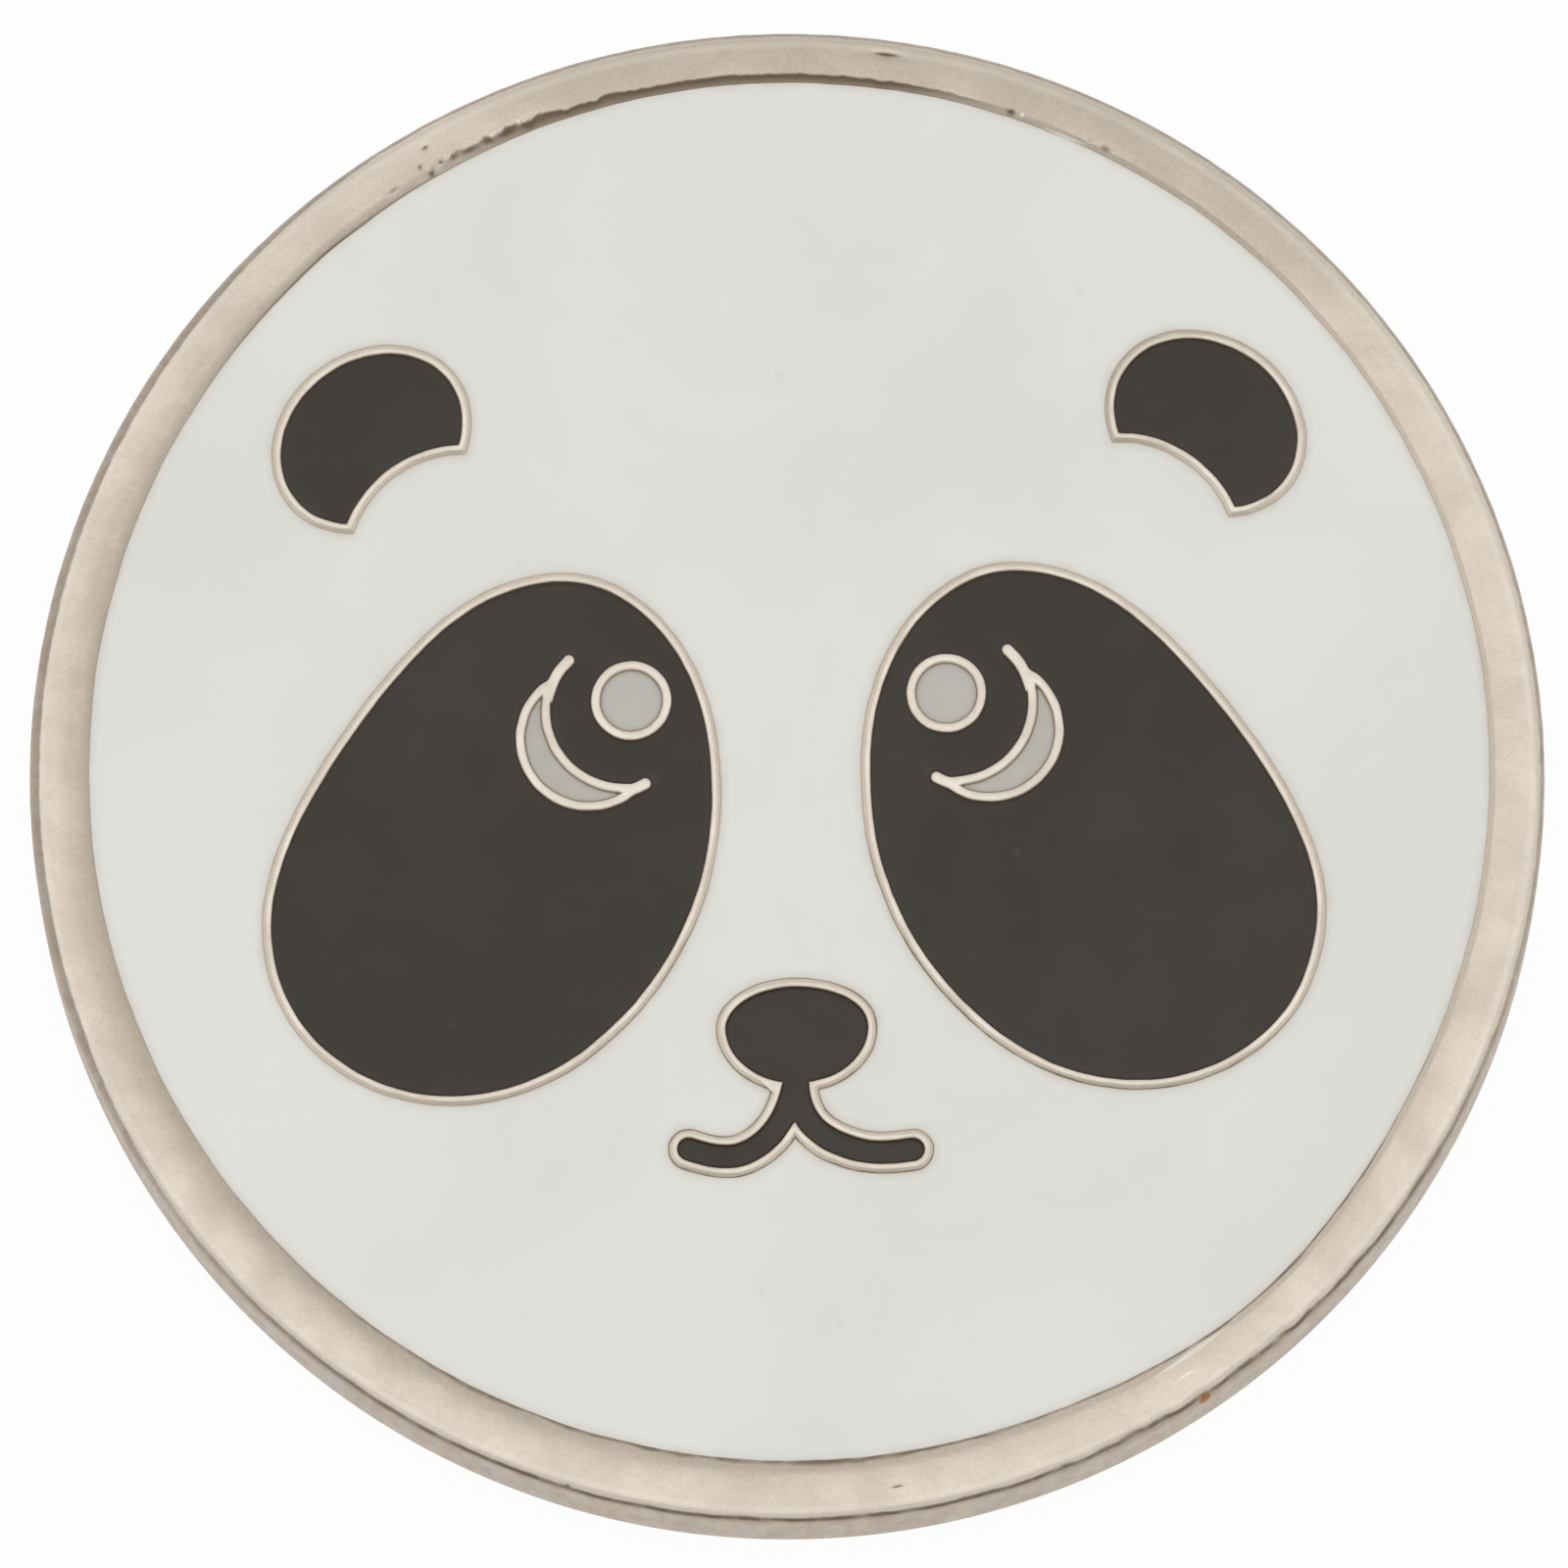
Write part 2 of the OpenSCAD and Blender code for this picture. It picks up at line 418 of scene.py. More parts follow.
class Board:
    """A node tree with short calls for the nodes that these finishes use.

    Attributes:
        tree: The tree that it wires.
    """

    def __init__(self, tree: Tree) -> None:
        """Keeps the tree to wire."""
        self.tree = tree

    def add(self, kind: str, inputs: dict | None = None, **settings: object) -> bpy.types.Node:
        """Adds a node.

        Args:
            kind: The node's type name.
            inputs: Values or sockets for its inputs, by name or index.
            **settings: The node's own properties.

        Returns:
            The node.
        """
        node = self.tree.nodes.new(kind)
        for name, value in settings.items():
            setattr(node, name, value)
        for key, value in (inputs or {}).items():
            self.feed(node.inputs[key], value)
        return node

    def feed(self, socket: Socket, value: object) -> None:
        """Links a socket to an input, or sets the input's value.

        Args:
            socket: The input.
            value: A socket, a number, or a colour or vector of three numbers.
        """
        if isinstance(value, Socket):
            self.tree.links.new(value, socket)
        elif isinstance(value, tuple) and len(value) == 3 and socket.type == "RGBA":
            socket.default_value = (*value, 1.0)
        else:
            socket.default_value = value

    def combine(self, how: str, first: object, second: object) -> Socket:
        """Returns the result of a Math node with the given operation."""
        return self.add("ShaderNodeMath", {0: first, 1: second}, operation=how).outputs[0]

    def plus(self, first: object, second: object) -> Socket:
        """Returns the sum of two values or sockets."""
        return self.combine("ADD", first, second)

    def minus(self, first: object, second: object) -> Socket:
        """Returns the first value or socket less the second."""
        return self.combine("SUBTRACT", first, second)

    def times(self, first: object, second: object) -> Socket:
        """Returns the product of two values or sockets."""
        return self.combine("MULTIPLY", first, second)

    def most(self, first: object, second: object) -> Socket:
        """Returns the greater of two values or sockets."""
        return self.combine("MAXIMUM", first, second)

    def vector(self, how: str, first: object, second: object = (0.0, 0.0, 0.0)) -> bpy.types.Node:
        """Returns a Vector Math node with the given operation."""
        return self.add("ShaderNodeVectorMath", {0: first, 1: second}, operation=how)

    def in_mm(self, metres: object) -> Socket:
        """Returns a length in millimetres."""
        return self.combine("DIVIDE", metres, MM)

    def span(self, value: object, low: float, high: float, to_low: object = 0.0,
             to_high: object = 1.0, smooth: bool = True) -> Socket:
        """Maps a value from one range to another, held at both ends.

        Args:
            value: The value's socket.
            low: The start of its range.
            high: The end of its range.
            to_low: What the start becomes.
            to_high: What the end becomes.
            smooth: Whether it eases in and out.

        Returns:
            The result's socket.
        """
        kind = "SMOOTHSTEP" if smooth else "LINEAR"
        inputs = {0: value, 1: low, 2: high, 3: to_low, 4: to_high}
        return self.add("ShaderNodeMapRange", inputs, interpolation_type=kind).outputs[0]

    def blend(self, mask: object, first: object, second: object) -> Socket:
        """Mixes two colours.

        Args:
            mask: The share of the second colour.
            first: A colour or socket.
            second: A colour or socket.

        Returns:
            The result's socket.
        """
        node = self.add("ShaderNodeMix", data_type="RGBA")
        for name, value in (("Factor_Float", mask), ("A_Color", first), ("B_Color", second)):
            self.feed(next(s for s in node.inputs if s.identifier == name), value)
        return next(s for s in node.outputs if s.identifier == "Result_Color")

    def noise(self, place: object, size: float, detail: float = 3.0) -> Socket:
        """Returns a noise whose features are about the given size in millimetres."""
        inputs = {"Vector": place, "Scale": 1 / (size * MM), "Detail": detail, "Roughness": 0.55}
        return self.add("ShaderNodeTexNoise", inputs).outputs[0]

    def place(self) -> Socket:
        """Returns the object coordinates."""
        return self.add("ShaderNodeTexCoord").outputs["Object"]

    def layer(self, name: str) -> Socket:
        """Returns the value that the named layer holds on the mesh's vertices."""
        return self.add("ShaderNodeAttribute", attribute_name=name).outputs["Fac"]

    def group(self, tree: Tree, inputs: dict) -> Socket:
        """Places a node group and returns its first output."""
        return self.add("ShaderNodeGroup", inputs, node_tree=tree).outputs[0]

    def bump(self, height: object, strength: float, depth: float,
             normal: object = None) -> Socket:
        """Bends the normal by a height.

        Args:
            height: The height's socket.
            strength: How much of the bend is used.
            depth: The depth for a height of 1, in millimetres.
            normal: The normal to bend, if not the surface's own.

        Returns:
            The normal's socket.
        """
        inputs = {"Height": height, "Strength": strength, "Distance": depth * MM}
        if normal is not None:
            inputs["Normal"] = normal
        return self.add("ShaderNodeBump", inputs).outputs[0]


def new_group(name: str, inputs: dict[str, str]) -> tuple[Board, dict, Socket]:
    """Starts a shader node group that makes a mask.

    Args:
        name: The group's name.
        inputs: The socket type of each input, by name.

    Returns:
        The board, the input sockets by name, and the socket that takes the result.
    """
    tree = bpy.data.node_groups.new(name, "ShaderNodeTree")
    for socket, kind in inputs.items():
        tree.interface.new_socket(socket, in_out="INPUT", socket_type=kind)
    tree.interface.new_socket("Mask", in_out="OUTPUT", socket_type=FLOAT)
    board = Board(tree)
    entry = board.add("NodeGroupInput")
    leave = board.add("NodeGroupOutput")
    return board, {s.name: s for s in entry.outputs if s.name}, leave.inputs[0]


def mottle_group() -> Tree:
    """Builds the cloudy patches of tarnish and enamel: a soft mask from 0 to 1.

    Returns:
        The group.
    """
    board, ins, out = new_group("mottle", {"Vector": VECTOR, "Scale": FLOAT, "Spread": FLOAT})
    inputs = {"Vector": ins["Vector"], "Scale": ins["Scale"],
              "Detail": 4.0, "Roughness": 0.6, "Distortion": 0.4}
    cloud = board.add("ShaderNodeTexNoise", inputs).outputs[0]
    low = board.minus(0.5, ins["Spread"])
    high = board.plus(0.5, ins["Spread"])
    board.feed(out, board.span(cloud, low, high))
    return board.tree


def hairline_group() -> Tree:
    """Builds fine straight scratches at one angle: a thin mask, broken along its length.

    Returns:
        The group.
    """
    board, ins, out = new_group("hairlines", {
        "Vector": VECTOR, "Angle": FLOAT, "Length": FLOAT, "Pitch": FLOAT, "Share": FLOAT})
    turned = board.add("ShaderNodeVectorRotate", {"Vector": ins["Vector"], "Angle": ins["Angle"]},
                       rotation_type="Z_AXIS").outputs[0]
    parts = board.add("ShaderNodeSeparateXYZ", {0: turned}).outputs
    along = board.combine("DIVIDE", parts[0], ins["Length"])
    across = board.combine("DIVIDE", parts[1], ins["Pitch"])
    stretched = board.add("ShaderNodeCombineXYZ", {0: along, 1: across, 2: 0.0}).outputs[0]
    inputs = {"Vector": stretched, "Scale": 1.0, "Detail": 1.0}
    line = board.add("ShaderNodeTexNoise", inputs).outputs[0]
    edge = board.minus(1.0, ins["Share"])
    board.feed(out, board.span(line, edge, board.plus(edge, 0.05)))
    return board.tree


def speck_group() -> Tree:
    """Builds scattered small specks: a mask of dots, most of whose cells stay empty.

    Returns:
        The group.
    """
    board, ins, out = new_group(
        "specks", {"Vector": VECTOR, "Scale": FLOAT, "Size": FLOAT, "Share": FLOAT})
    cells = board.add("ShaderNodeTexVoronoi", {"Vector": ins["Vector"], "Scale": ins["Scale"]})
    pick = board.add("ShaderNodeSeparateColor", {0: cells.outputs["Color"]}).outputs[0]
    chosen = board.combine("LESS_THAN", pick, ins["Share"])
    dot = board.span(cells.outputs["Distance"], ins["Size"], 0.0)
    board.feed(out, board.times(dot, chosen))
    return board.tree


def ring_group() -> Tree:
    """Builds a frayed mask that rises from one radius to another, both in millimetres.

    Returns:
        The group.
    """
    board, ins, out = new_group("radius_mask", {
        "Vector": VECTOR, "Inner": FLOAT, "Outer": FLOAT, "Fray": FLOAT})
    parts = board.add("ShaderNodeSeparateXYZ", {0: ins["Vector"]}).outputs
    flat = board.add("ShaderNodeCombineXYZ", {0: parts[0], 1: parts[1], 2: 0.0}).outputs[0]
    radius = board.vector("LENGTH", flat).outputs["Value"]
    fray = board.times(board.minus(board.noise(ins["Vector"], 0.3), 0.5), ins["Fray"])
    frayed = board.plus(board.in_mm(radius), fray)
    board.feed(out, board.span(frayed, ins["Inner"], ins["Outer"]))
    return board.tree


@dataclass
class Effects:
    """The node groups that the finishes share."""

    mottle: Tree = field(default_factory=mottle_group)
    hairlines: Tree = field(default_factory=hairline_group)
    specks: Tree = field(default_factory=speck_group)
    radius: Tree = field(default_factory=ring_group)


def new_material(name: str) -> tuple[bpy.types.Material, Board, bpy.types.Node]:
    """Starts a material.

    Args:
        name: The material's name.

    Returns:
        The material, its board and its Principled BSDF.
    """
    material = bpy.data.materials.new(name)
    material.use_nodes = True
    shader = material.node_tree.nodes["Principled BSDF"]
    return material, Board(material.node_tree), shader


# ---------------------------------------------------------------- finishes


@dataclass
class Surface:
    """What the layers of a plated surface read.

    Attributes:
        board: The material's board.
        fx: The shared node groups.
        place: The place on the object.
        upright: The same place, flattened so that marks on the side run upright.
        height: The height, in millimetres.
        front: The mask of the face and the rim, as opposed to the back.
        outer: The mask of the side.
    """

    board: Board
    fx: Effects
    place: Socket
    upright: Socket
    height: Socket
    front: Socket
    outer: Socket


@dataclass(frozen=True)
class NickelPlate:
    """Warm nickel plate: satin on top, tarnished and rough on the side, painted brown shade in the
    crevices, painted highlights on the lip, the walls' tops and the burrs.

    Attributes:
        plate: The colour of the clean plate.
        worn_and_shaded: The colour where it is rubbed and grained, and of the painted shade on the
            rim's inner slope.
        bright: The colour of the painted highlights on the lip, the walls' tops and the burrs.
        grey_side: The side's main colour.
        ochre_side: The colour of its warm patches.
        plum_side: The colour of its dark patches.
        crevice_shade: The colour of the painted shade in dents, at the walls' feet, along the
            shoulder and down the torn slope.
        rust: The colour of the rust spot.
        rust_azimuth: The spot's place round the side, in degrees.
        rust_height: The spot's height, in millimetres.
        flatten: What heights are scaled by, so that marks on the side run upright.
        scuff_azimuth: Where the rim is scuffed, in degrees.
        broad_azimuth: Where the side's tarnish reaches furthest over the rim.
        shade_line_azimuth: Where a painted shade line runs along the side's upper edge.
        shade_line_heights: Where that line begins and ends: two pairs, in millimetres.
        front_heights: Where the front begins.
        crest_highlight_heights: Where the painted highlight on the tops of the walls begins.
        foot_shade_heights: Where the painted shade at the walls' feet begins, going down.
        side_radii: Where the side begins, in millimetres.
        lip_highlight_radii: Where the painted highlight along the rim's lip begins.
        face_radii: Where the face within the rim begins, going in.
        scratches: Each family of hairlines: its angle in radians, its length and pitch in
            millimetres, and its share.
    """

    plate: Colour = (0.85, 0.755, 0.637)
    worn_and_shaded: Colour = (0.59, 0.515, 0.415)
    bright: Colour = (0.97, 0.90, 0.80)
    grey_side: Colour = (0.55, 0.505, 0.45)
    ochre_side: Colour = (0.56, 0.475, 0.36)
    plum_side: Colour = (0.47, 0.39, 0.335)
    crevice_shade: Colour = (0.20, 0.145, 0.095)
    rust: Colour = (0.42, 0.20, 0.085)
    rust_azimuth: float = 302.0
    rust_height: float = 1.86
    flatten: float = 0.3
    scuff_azimuth: float = 76.0
    broad_azimuth: float = 168.0
    shade_line_azimuth: float = 280.0
    shade_line_heights: Steps = ((1.885, 1.925), (1.970, 1.945))
    front_heights: tuple[float, float] = (1.6, 1.7)
    crest_highlight_heights: tuple[float, float] = (1.990, 1.9995)
    foot_shade_heights: tuple[float, float] = (1.952, 1.938)
    side_radii: tuple[float, float] = (12.40, 12.44)
    lip_highlight_radii: tuple[float, float] = (12.18, 12.30)
    face_radii: tuple[float, float] = (11.35, 11.30)
    scratches: tuple[tuple[float, float, float, float], ...] = (
        (0.5, 2.2, 0.020, 0.30), (-0.9, 1.6, 0.025, 0.27), (1.9, 3.0, 0.02, 0.26))

    def rust_place(self) -> tuple[float, float, float]:
        """Finds the rust spot on the side.

        Returns:
            Its middle, flattened like the place that it is compared with, in metres.
        """
        angle = math.radians(self.rust_azimuth)
        radius = CAD_HIGH.x
        height = self.rust_height * MM * self.flatten
        return radius * math.cos(angle), radius * math.sin(angle), height

    @staticmethod
    def toward(board: Board, place: Socket, azimuth: float, low: float, high: float) -> Socket:
        """Masks one side of the disc.

        Args:
            board: The material's board.
            place: The place on the object.
            azimuth: The middle of that side, in degrees.
            low: The cosine from the middle at which the mask is 0.
            high: The cosine at which it is 1.

        Returns:
            The mask's socket.
        """
        angle = math.radians(azimuth)
        heading = (math.cos(angle), math.sin(angle), 0.0)
        facing = board.vector("NORMALIZE", place).outputs[0]
        cosine = board.vector("DOT_PRODUCT", facing, heading).outputs["Value"]
        return board.span(cosine, low, high)

    def _survey(self, board: Board, fx: Effects) -> Surface:
        """Finds what the layers read.

        Args:
            board: The material's board.
            fx: The shared node groups.

        Returns:
            The surface.
        """
        place = board.place()
        upright = board.vector("MULTIPLY", place, (1.0, 1.0, self.flatten)).outputs[0]
        height = board.in_mm(board.add("ShaderNodeSeparateXYZ", {0: place}).outputs[2])
        front = board.span(height, *self.front_heights)
        broad = board.times(self.toward(board, place, self.broad_azimuth, 0.65, 0.93), -0.085)
        begin, end = (board.plus(broad, radius) for radius in self.side_radii)
        outer = board.group(fx.radius, {"Vector": place, "Inner": begin, "Outer": end,
                                        "Fray": 0.05})
        return Surface(board, fx, place, upright, height, front, outer)

    def _top(self, on: Surface) -> Socket:
        """Colours the rim, the walls and the back, with painted shade towards the rim's inner slope
        and painted highlights on the lip and the walls' tops.

        Args:
            on: The surface.

        Returns:
            The colour's socket.
        """
        board, fx, place = on.board, on.fx, on.place
        cloud = board.group(fx.mottle, {"Vector": place, "Scale": 420.0, "Spread": 0.2})
        fine = board.group(fx.mottle, {"Vector": place, "Scale": 15000.0, "Spread": 0.25})
        grained = board.plus(board.times(cloud, 0.16), board.times(fine, 0.38))
        scuffed = board.times(self.toward(board, place, self.scuff_azimuth, 0.72, 0.90), 0.60)
        # The inset layer holds painted shade on the rim's inner slope, stronger on the left; the
        # scuffed patch is rubbing of the plate.
        wear_and_shade = board.most(board.layer(INSET_LAYER), board.times(scuffed, on.front))
        top = board.blend(board.plus(wear_and_shade, board.times(grained, 0.8)), self.plate, self.worn_and_shaded)
        begin, end = self.lip_highlight_radii
        lip = board.group(fx.radius, {"Vector": place, "Inner": begin, "Outer": end})
        # Painted highlight: a pale ring along the rim's lip.
        top = board.blend(board.times(board.times(lip, on.front), 0.28), top, self.bright)
        begin, end = self.face_radii
        face = board.group(fx.radius, {"Vector": place, "Inner": begin, "Outer": end})
        # Painted highlight: the tops of the walls, lightened in patches.
        crest_highlight = board.times(board.span(on.height, *self.crest_highlight_heights), face)
        crest_highlight = board.times(crest_highlight, board.span(board.noise(place, 0.8), 0.3, 0.7, 0.20, 0.75))
        return board.blend(crest_highlight, top, self.bright)

    def _side(self, on: Surface) -> Socket:
        """Colours the side with its tarnish.

        Args:
            on: The surface.

        Returns:
            The colour's socket.
        """
        board = on.board
        patch = board.group(on.fx.mottle, {"Vector": on.upright, "Scale": 2600.0, "Spread": 0.16})
        tint = board.group(on.fx.mottle, {"Vector": on.upright, "Scale": 4300.0, "Spread": 0.14})
        side = board.blend(patch, self.grey_side, self.ochre_side)
        return board.blend(board.times(tint, 0.7), side, self.plum_side)

    def _shade_and_rust(self, on: Surface, colour: Socket) -> Socket:
        """Adds the painted shade line along the edge, the painted shade at the walls' feet, the
        painted shade and highlights of the nicks, and the rust spot.

        Args:
            on: The surface.
            colour: The colour beneath.

        Returns:
            The colour's socket.
        """
        board, place = on.board, on.place
        # Painted shade: a broken brown line along the shoulder, on the lower side.
        wavy = board.times(board.minus(board.noise(place, 1.1), 0.5), 0.07)
        wavy = board.plus(on.height, wavy)
        line = board.times(*(board.span(wavy, *heights) for heights in self.shade_line_heights))
        line = board.times(line, self.toward(board, place, self.shade_line_azimuth, 0.40, 0.85))
        line = board.times(line, board.span(board.noise(place, 0.4), 0.25, 0.6, 0.3, 0.85))
        colour = board.blend(line, colour, self.crevice_shade)
        # Painted shade: the metal darkens down towards the walls' feet.
        wall_foot_shade = board.times(board.span(on.height, *self.foot_shade_heights), on.front)
        wall_foot_shade = board.times(wall_foot_shade, board.minus(1.0, on.outer))
        colour = board.blend(board.times(wall_foot_shade, 0.18), colour, self.crevice_shade)
        # Painted shade in the dents and down the torn slope, and painted highlights on the burrs,
        # from the mesh's layer.
        pit = board.layer(SHADE_HIGHLIGHT_LAYER)
        colour = board.blend(board.span(pit, 0.2, 0.9), colour, self.crevice_shade)
        colour = board.blend(board.span(pit, -0.2, -0.8), colour, self.bright)
        away = board.vector("DISTANCE", on.upright, self.rust_place()).outputs["Value"]
        ragged = board.plus(board.in_mm(away), board.times(board.noise(place, 0.12), 0.16))
        return board.blend(board.span(ragged, 0.21, 0.14), colour, self.rust)

    def _relief(self, on: Surface, shader: bpy.types.Node) -> None:
        """Sets the roughness and the fine relief: grain, dimples, scratches and the rough side.

        Args:
            on: The surface.
            shader: The Principled BSDF.
        """
        board, place = on.board, on.place
        lines = 0.0
        for angle, length, pitch, share in self.scratches:
            family = {"Angle": angle, "Length": length * MM, "Pitch": pitch * MM, "Share": share}
            lines = board.most(lines, board.group(on.fx.hairlines, {"Vector": place, **family}))
        satin = board.span(board.noise(place, 0.9), 0.3, 0.7, 0.36, 0.46)
        rough = board.plus(satin, board.times(on.outer, 0.22))
        board.feed(shader.inputs["Roughness"], board.plus(rough, board.times(lines, 0.06)))
        grain = board.bump(board.noise(place, 0.05, 2.0), 0.35, 0.004)
        dimples = board.bump(board.noise(place, 0.35, 1.0), 0.5, 0.012, grain)
        scored = board.bump(lines, 0.25, -0.004, dimples)
        rugged = board.times(board.noise(on.upright, 0.12, 4.0), on.outer)
        board.feed(shader.inputs["Normal"], board.bump(rugged, 0.8, 0.02, scored))

    def build(self, fx: Effects) -> bpy.types.Material:
        """Builds the material.

        Args:
            fx: The shared node groups.

        Returns:
            The material.
        """
        material, board, shader = new_material("nickel_plate")
        on = self._survey(board, fx)
        colour = board.blend(on.outer, self._top(on), self._side(on))
        board.feed(shader.inputs["Base Color"], self._shade_and_rust(on, colour))
        self._relief(on, shader)
        shader.inputs["Metallic"].default_value = 1.0
        return material


@dataclass(frozen=True)
class Enamel:
    """Ground and polished enamel: a base colour, with a painted shade line and a painted shade halo
    along its walls.

    Attributes:
        name: The material's name.
        base: Its colour.
        cloudy: The colour of its faint clouds.
        halo: The colour of the painted shade that it takes near the walls.
        edge_shade: The colour of the painted shade line against the walls.
        halo_width: How far the painted shade halo reaches, in millimetres.
        halo_share: How strong the painted shade halo is, from 0 to 1.
        edge_shade_width: How wide the painted shade line is, in millimetres.
        edge_shade_share: How strong the painted shade line is, from 0 to 1.
        speck: The colour of its specks.
        speck_share: The share of cells that hold a speck.
        roughness: Its usual roughness.
    """

    name: str
    base: Colour
    cloudy: Colour
    halo: Colour
    edge_shade: Colour
    halo_width: float = 0.16
    halo_share: float = 0.5
    edge_shade_width: float = 0.022
    edge_shade_share: float = 0.85
    speck: Colour = (0.5, 0.48, 0.42)
    speck_share: float = 0.05
    roughness: float = 0.34

    def build(self, fx: Effects) -> bpy.types.Material:
        """Builds the material.

        Args:
            fx: The shared node groups.

        Returns:
            The material.
        """
        material, board, shader = new_material(self.name)
        place = board.place()
        inset = board.layer(INSET_LAYER)
        cloud = board.group(fx.mottle, {"Vector": place, "Scale": 150.0, "Spread": 0.25})
        colour = board.blend(cloud, self.base, self.cloudy)
        specks = board.group(fx.specks, {"Vector": place, "Scale": 1600.0, "Size": 0.16,
                                         "Share": self.speck_share})
        colour = board.blend(board.times(specks, 0.5), colour, self.speck)
        # Painted shade: a patchy halo near the walls and a brown line right against them.
        patchy = board.span(board.noise(place, 0.5), 0.3, 0.7, 0.35, 1.0)
        near = board.span(inset, self.halo_width, 0.0, smooth=False)
        halo = board.times(board.times(near, patchy), self.halo_share)
        colour = board.blend(halo, colour, self.halo)
        line = board.times(board.span(inset, self.edge_shade_width, 0.0), self.edge_shade_share)
        colour = board.blend(line, colour, self.edge_shade)
        board.feed(shader.inputs["Base Color"], colour)
        smoothest, roughest = self.roughness - 0.04, self.roughness + 0.04
        satin = board.span(board.noise(place, 1.4), 0.3, 0.7, smoothest, roughest)
        board.feed(shader.inputs["Roughness"], satin)
        swell = board.bump(board.noise(place, 1.8, 2.0), 0.25, 0.02)
        grain = board.bump(board.noise(place, 0.08, 2.0), 0.2, 0.002, swell)
        board.feed(shader.inputs["Normal"], grain)
        shader.inputs["IOR"].default_value = 1.45
        return material


# Each enamel's halo and edge colours are painted shade along its walls.
WHITE_ENAMEL = Enamel("white_enamel", base=(0.745, 0.735, 0.695), cloudy=(0.70, 0.69, 0.648),
                      halo=(0.56, 0.51, 0.43), edge_shade=(0.36, 0.30, 0.23), edge_shade_share=0.3,
                      speck=(0.62, 0.62, 0.57))
BLACK_ENAMEL = Enamel("black_enamel", base=(0.025, 0.018, 0.010), cloudy=(0.031, 0.024, 0.016),
                      halo=(0.05, 0.037, 0.024), edge_shade=(0.045, 0.03, 0.018), speck_share=0.04,
                      speck=(0.10, 0.09, 0.075))
GREY_ENAMEL = Enamel("grey_enamel", base=(0.49, 0.474, 0.43), cloudy=(0.45, 0.435, 0.395),
                     halo=(0.36, 0.32, 0.26), edge_shade=(0.17, 0.135, 0.10), halo_width=0.1)


# ---------------------------------------------------------------- pieces


def finish_piece(name: str, bm: bmesh.types.BMesh, material: bpy.types.Material,
                 nodes: tuple[str, ...]) -> bpy.types.Object:
    """Turns a mesh into a piece of the marker.

    Args:
        name: The piece's name.
        bm: Its mesh in millimetres, which is freed.
        material: Its material.
        nodes: The CAD nodes that it stands for.

    Returns:
        The piece.
    """
    bmesh.ops.recalc_face_normals(bm, faces=bm.faces)
    bmesh.ops.scale(bm, vec=(MM, MM, MM), verts=bm.verts)
    for face in bm.faces:
        face.smooth = True
    mesh = bpy.data.meshes.new(name)
    bm.to_mesh(mesh)
    bm.free()
    mesh.materials.append(material)
    piece = bpy.data.objects.new(name, mesh)
    bpy.context.scene.collection.objects.link(piece)
    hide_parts(*nodes)
    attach(piece, "root")
    log.info("%s: %d faces", name, len(mesh.polygons))
    return piece


def new_mesh() -> bmesh.types.BMesh:
    """Starts a mesh with the layers that the finishes read.

    Returns:
        The mesh.
    """
    bm = bmesh.new()
    bm.verts.layers.float.new(INSET_LAYER)
    bm.verts.layers.float.new(SHADE_HIGHLIGHT_LAYER)
    return bm


@dataclass
class EnamelCell:
    """One poured cell of enamel, level with a slight dip where it meets its walls.

    Attributes:
        node: The CAD node that it stands for.
        enamel: Its finish.
        coat: Its slot; not used.
        depths: How far the dip reaches in from the walls, in millimetres, step by step.
        dips: How deep it is at each of those steps.
    """

    node: str
    enamel: Enamel
    coat: Coat
    depths: tuple[float, ...] = (0.0, 0.02, 0.05, 0.10, 0.17)
    dips: tuple[float, ...] = (0.009, 0.004, 0.001, 0.0, 0.0)

    def __post_init__(self) -> None:
        """Reads the cell's outlines and heights from the frame."""
        low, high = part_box(self.node)
        self.floor = low.z / MM
        self.top = high.z / MM
        self.outlines = top_outlines(self.node)
        if self.node == FIELD_NODE:
            self.outlines[0] = self.outlines[0].off_centre()

    def build(self, material: bpy.types.Material) -> bpy.types.Object:
        """Builds the fill.

        Args:
            material: The enamel's material.

        Returns:
            The piece.
        """
        steps = tuple((depth, self.top - dip) for depth, dip in zip(self.depths, self.dips))
        bm = new_mesh()
        Plateau([Bank(outline, steps) for outline in self.outlines], self.floor).build(bm)
        return finish_piece(f"{self.node}_fill", bm, material, (self.node,))


@dataclass(frozen=True)
class Nick:
    """A dent or a burr on the rim.

    Attributes:
        azimuth: Its place round the rim, in degrees.
        radius: Its distance from the axis, in millimetres.
        width: Its radius across the rim, in millimetres.
        depth: How deep it is; a burr stands up instead.
        dark: How brown the painted shade in its bottom is, from 0 to 1; a burr's painted highlight
            goes down to -1.
        stretch: How many times longer than wide it is, along the rim.
    """

    azimuth: float
    radius: float
    width: float
    depth: float
    dark: float = 0.0
    stretch: float = 1.0

    def share(self, place: Vector) -> float:
        """Gives how much of the dent reaches a place.

        Args:
            place: The place in the plan.

        Returns:
            1 in its middle, fading to 0 around it.
        """
        angle = math.radians(self.azimuth)
        out = Vector((math.cos(angle), math.sin(angle), 0.0))
        away = place - out * self.radius
        across = away.dot(out) / self.width
        along = away.cross(out).z / (self.width * self.stretch)
        return math.exp(-across * across - along * along)


def nearness(angle: float, azimuth: float, spread: float) -> float:
    """Tells how near a place round the disc is to an azimuth.

    Args:
        angle: The place, in radians.
        azimuth: The azimuth, in degrees.
        spread: How far the whole effect reaches to each side, in degrees.

    Returns:
        1 within the spread, falling to 0 at twice the spread.
    """
    away = abs(math.degrees(angle) % 360 - azimuth)
    return max(0.0, min(1.0, 2 - away / spread))


